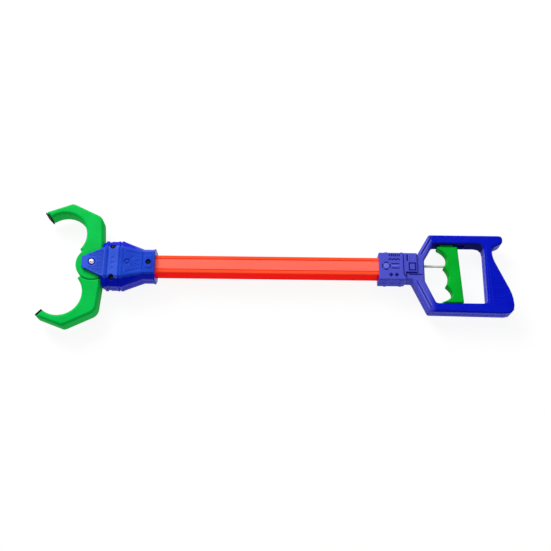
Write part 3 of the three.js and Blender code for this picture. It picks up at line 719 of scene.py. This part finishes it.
def loop_marks(face):
    """Rims and grooves along the loop's bars, ribs on the grip and rings at the window's corners."""
    lower = ((356, -15.4), (372.8, -51.4))
    upper = ((376.2, 39.1), (362.4, 15.4))
    for edge in (lower, upper):
        face.raise_mark(stroke(along_bar(*edge, 2.3, 3.2), 1.2), LOOP_FACE, 0.45)
        face.sink_mark(stroke(along_bar(*edge, 3.9, 2.6), 1.1), LOOP_FACE, 0.8)
        face.raise_mark(stroke(along_bar(*edge, 5.6, 4.2), 0.9), LOOP_FACE, 0.3)
    face.sink_mark(stroke([(352.6, -8.9), (367.6, -8.9)], 1.1), LOOP_FACE, 0.7)
    face.raise_mark(block(347.4, 354.6, -13.9, -12.6), LOOP_FACE, 0.5)
    face.raise_mark(stroke([(442.2, 8), (444.4, -44.5)], 0.8), LOOP_FACE, 0.2)
    for i in range(8):
        y = -12.0 - 3.4 * i
        face.sink_mark(block(447.2, 459.2 + 0.55 * i, y - 0.35, y + 0.35), LOOP_FACE, 0.3)
    for corner in ((382.5, -46.2), (381.5, 33.6), (441, 33.6)):
        for start in (0, math.pi):
            ring = ring_segment(*corner, 1.8, 2.5, start - 0.05, start + math.pi + 0.05, 12)
            face.raise_mark(ring, LOOP_FACE, 0.22)


def handle_shell(node, side):
    face = Face(side)
    neck_marks(face)
    neck_end(face)
    loop_marks(face)

    neck_marks_start, neck_marks_end = 322.5, 361
    neck_marks_half_height = 14.6
    left_bars_start, left_bars_end = 361.8, 380
    window_start, window_end = 362, 450
    neck_floor, loop_floor = 11.0, 8.5      # marks are no deeper than these levels

    def anywhere(p, normal):
        return True

    def groove_floor(p, normal):
        among_marks = neck_marks_start < p.x < neck_marks_end and abs(p.y) < neck_marks_half_height
        on_neck = among_marks and neck_floor < abs(p.z) < NECK_STEP_FACE - 0.15
        sunk = loop_floor < abs(p.z) < LOOP_FACE - 0.3
        on_loop = p.x < left_bars_end and sunk and abs(normal.z) > 0.9
        return on_neck or on_loop

    def over_trigger(p, normal):
        in_window = window_start < p.x < window_end and 18 < p.y < 29.5
        return in_window and normal.y < -0.5 and abs(p.z) < LOOP_FACE - 0.4

    def raised_line(p, normal):
        on_loop = left_bars_start < p.x < left_bars_end and abs(p.z) > LOOP_FACE + 0.15
        return abs(p.z) > NECK_FACE + 0.15 or on_loop

    return moulded(
        node, radius=0.35, voxel=0.27, raised=face.raised, cut=face.cut,
        # Painted shade on the groove floors and over the trigger, painted highlight on the raised lines.
        zones=[
            (HANDLE_BLUE, anywhere), (PAINTED_SHADE_BLUE, groove_floor), (PAINTED_SHADE_BLUE, over_trigger),
            (RAISED_LINE_HIGHLIGHT_BLUE, raised_line),
        ],
    )


# ---------------------------------------------------------------- the tube

TUBE_HALF = 10.3
TUBE_BORE_HALF = 8.7
EDGE_MARGIN = 0.7       # points this far from each edge keep the pale edges, partly wear and partly painted highlight, off the flat faces


def rounded_square(half, radius, steps):
    """The corners of a square section, anticlockwise from the lower right.

    Each corner is an arc with a point past each end.
    """
    corners = []
    for quarter in range(4):
        turn = quarter * math.pi / 2 - math.pi / 2
        across = Vector((math.cos(turn), math.sin(turn)))
        along = Vector((-across.y, across.x))
        centre = (half - radius) * (across + along)
        arc = []
        for i in range(steps + 1):
            angle = math.pi / 2 * i / steps
            arc.append(centre + radius * (math.cos(angle) * across + math.sin(angle) * along))
        corner = [arc[0] - EDGE_MARGIN * along] + arc + [arc[-1] - EDGE_MARGIN * across]
        corners.append([tuple(point) for point in corner])
    return corners


def groove(centre, face, width=1.5, depth=0.55, steps=8):
    """A rounded dip across a face, as section points with y rising."""
    points = []
    for i in range(steps + 1):
        share = i / steps
        dip = depth * (1 - math.cos(2 * math.pi * share)) / 2
        points.append((centre + (share - 0.5) * width, face - math.copysign(dip, face)))
    return points


def tube_section():
    lower_right, upper_right, upper_left, lower_left = rounded_square(TUBE_HALF, 1.5, 8)
    top = [p for y in (TUBE_GROOVE_Y, -TUBE_GROOVE_Y) for p in groove(y, TUBE_HALF)[::-1]]
    bottom = [p for y in (-TUBE_GROOVE_Y, TUBE_GROOVE_Y) for p in groove(y, -TUBE_HALF)]
    return lower_right + upper_right + top + upper_left + lower_left + bottom


def tube_piece():
    low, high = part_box("tube")
    x0, x1 = drawn(low).x, drawn(high).x
    bore = [p for corner in rounded_square(TUBE_BORE_HALF, 0.8, 5) for p in corner]
    bm = bmesh.new()
    stations = (x0, x0 + EDGE_MARGIN, x1 - EDGE_MARGIN, x1)
    rims = {x0: [], x1: []}
    for section in (tube_section(), bore):
        rings = [[bm.verts.new(placed(x, y, z)) for y, z in section] for x in stations]
        for before, after in zip(rings, rings[1:]):
            for i in range(len(section)):
                j = (i + 1) % len(section)
                bm.faces.new([before[i], before[j], after[j], after[i]])
        for x, ring in ((x0, rings[0]), (x1, rings[-1])):
            rims[x] += [bm.edges.get((ring[i], ring[(i + 1) % len(ring)])) for i in range(len(ring))]
    for rim in rims.values():
        bmesh.ops.triangle_fill(bm, edges=rim, use_beauty=True)
    mesh = solid_mesh(bm, "tube")
    bores = [prism(circle(TUBE_SCREW_X, 0, 1.5), 5, 20), prism(circle(NECK_SCREW_X, 0, 1.5), -20, -5)]
    return finished(combined(mesh, bores, "DIFFERENCE"), "tube", "_extruded")


# ---------------------------------------------------------------- screws and spring

def lathe(profile, centre, axis_sign, steps=48):
    """A turned solid about a line along Z; profile is (radius, height) pairs from axis to axis."""
    bm = bmesh.new()
    rings = []
    for radius, height in profile:
        z = centre.z + axis_sign * height
        if radius == 0:
            rings.append([bm.verts.new(placed(centre.x, centre.y, z))])
            continue
        rings.append([bm.verts.new(placed(x, y, z)) for x, y in circle(centre.x, centre.y, radius, steps)])
    for lower, upper in zip(rings, rings[1:]):
        for i in range(steps):
            j = (i + 1) % steps
            below = [lower[i % len(lower)], lower[j % len(lower)]]
            above = [upper[j % len(upper)], upper[i % len(upper)]]
            bm.faces.new(list(dict.fromkeys(below + above)))
    return solid_mesh(bm, "lathe")


def screw_piece(node, side):
    """A pan-head screw with a cross recess and a threaded shank, in the space of its CAD solid."""
    low, high = (drawn(corner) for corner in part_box(node))
    head_radius = (high.x - low.x) / 2
    shank_radius = 0.46 * head_radius
    head_height = 1.6
    length = high.z - low.z - head_height
    seat = Vector(((low.x + high.x) / 2, (low.y + high.y) / 2, (high.z - head_height)))
    if side == BACK:
        seat.z = low.z + head_height
    pitch = 0.8
    profile = [(0, -length), (shank_radius * 0.4, -length + 0.1)]
    for i in range(int((length - 2) / pitch)):
        height = 0.9 - length + i * pitch
        profile += [(shank_radius, height), (shank_radius * 0.84, height + pitch / 2)]
    profile += [(shank_radius * 0.9, -0.9), (shank_radius, 0)]
    profile += [(head_radius, 0), (head_radius, head_height * 0.35)]
    for i in range(1, 8):
        angle = i / 7 * math.pi / 2
        profile.append(
            (head_radius * math.cos(angle) if i < 7 else 0, head_height * (0.35 + 0.65 * math.sin(angle)))
        )
    mesh = lathe(profile, seat, side)
    arm = head_radius * 0.56
    half = head_radius * 0.13
    depth = sorted((seat.z + side * 0.45, seat.z + side * 4))
    recess = [
        prism(block(seat.x - arm, seat.x + arm, seat.y - half, seat.y + half), *depth),
        prism(block(seat.x - half, seat.x + half, seat.y - arm, seat.y + arm), *depth),
    ]
    return finished(combined(mesh, recess, "DIFFERENCE"), node, "_turned")


def spring_piece():
    """The return spring as a wound wire."""
    low, high = (drawn(corner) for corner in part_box("return_spring"))
    wire = 0.4
    coil_radius = (high.y - low.y) / 2 - wire
    middle_y, middle_z = (low.y + high.y) / 2, (low.z + high.z) / 2
    turns, steps_per_turn, sides = 6, 36, 12
    steps = turns * steps_per_turn
    bm = bmesh.new()
    rings = []
    for i in range(steps + 1):
        angle = 2 * math.pi * i / steps_per_turn
        x = low.x + wire + (high.x - low.x - 2 * wire) * i / steps
        ring = []
        for k in range(sides):
            around = 2 * math.pi * k / sides
            reach = coil_radius + wire * math.cos(around)
            ring.append(bm.verts.new(placed(
                x + wire * math.sin(around),
                middle_y + reach * math.cos(angle),
                middle_z + reach * math.sin(angle),
            )))
        rings.append(ring)
    for before, after in zip(rings, rings[1:]):
        for k in range(sides):
            m = (k + 1) % sides
            bm.faces.new([before[k], before[m], after[m], after[k]])
    bm.faces.new(rings[0])
    bm.faces.new(rings[-1])
    spring = finished(solid_mesh(bm, "spring"), "return_spring", "_wound")
    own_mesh(spring)


# ---------------------------------------------------------------- build

head_shell("head_shell_front", FRONT)
head_shell("head_shell_back", BACK)
handle_shell("handle_shell_front", FRONT)
handle_shell("handle_shell_back", BACK)
for name in ("upper_finger", "lower_finger", "trigger"):
    moulded(name, radius=0.8, voxel=0.3)
for name in ("upper_tip_pad", "lower_tip_pad"):
    moulded(name, radius=0.3, voxel=0.2)
tube_piece()
for name in frame["nodes"]:
    if "screw" in name:
        from_back = name.startswith("handle_screw") or name == "tube_screw_handle"
        screw_piece(name, BACK if from_back else FRONT)
spring_piece()

for name, part in frame["nodes"].items():
    part.data.materials.clear()
    part.data.materials.append(MATERIALS[SLOT_OF[name]])


# ---------------------------------------------------------------- floor, light and colour

def make_floor():
    """A floor that is white mostly by its own light, so that shadows on it stay faint."""
    material, tree, shader = node_material("floor_paper")
    shade = mix_colour(tree, ramp(tree, noise(tree, 3, 2), 0, 1), (0.11, 0.11, 0.11), (0.1, 0.1, 0.1))
    tree.links.new(shade, shader.inputs["Base Color"])
    shader.inputs["Roughness"].default_value = 0.9
    shader.inputs["Specular IOR Level"].default_value = 0.1
    shader.inputs["Emission Color"].default_value = (1, 1, 1, 1)
    shader.inputs["Emission Strength"].default_value = 0.9
    bm = bmesh.new()
    half = 6.0      # metres
    ground = CAD_BOX[0][2]
    bm.faces.new([bm.verts.new((x, y, ground)) for x, y in block(-half, half, -half, half)])
    mesh = bpy.data.meshes.new("floor")
    bm.to_mesh(mesh)
    bm.free()
    mesh.materials.append(material)
    floor = bpy.data.objects.new("floor", mesh)
    bpy.context.scene.collection.objects.link(floor)


def area_light(name, position, size, power):
    """A lamp that faces the frame's origin; metres and watts."""
    data = bpy.data.lights.new(name, "AREA")
    data.shape = "RECTANGLE"
    data.size = size[0]
    data.size_y = size[1]
    data.energy = power
    light = bpy.data.objects.new(name, data)
    light.location = Vector(position)
    light.rotation_euler = Vector(position).to_track_quat("Z", "Y").to_euler()
    bpy.context.scene.collection.objects.link(light)


def make_light():
    world = bpy.data.worlds.new("studio")
    world.use_nodes = True
    background = world.node_tree.nodes["Background"]
    background.inputs["Color"].default_value = (1, 1, 1, 1)
    background.inputs["Strength"].default_value = 0.3
    bpy.context.scene.world = world
    area_light("key", (-0.95, 1.35, 1.35), size=(1.2, 1.0), power=46)
    area_light("overhead", (0.0, 0.6, 1.5), size=(0.9, 0.5), power=3.5)
    area_light("edge_strip", (0.5, -0.8, 1.3), size=(1.3, 0.05), power=3)


make_floor()
make_light()
bpy.context.scene.view_settings.view_transform = "Standard"
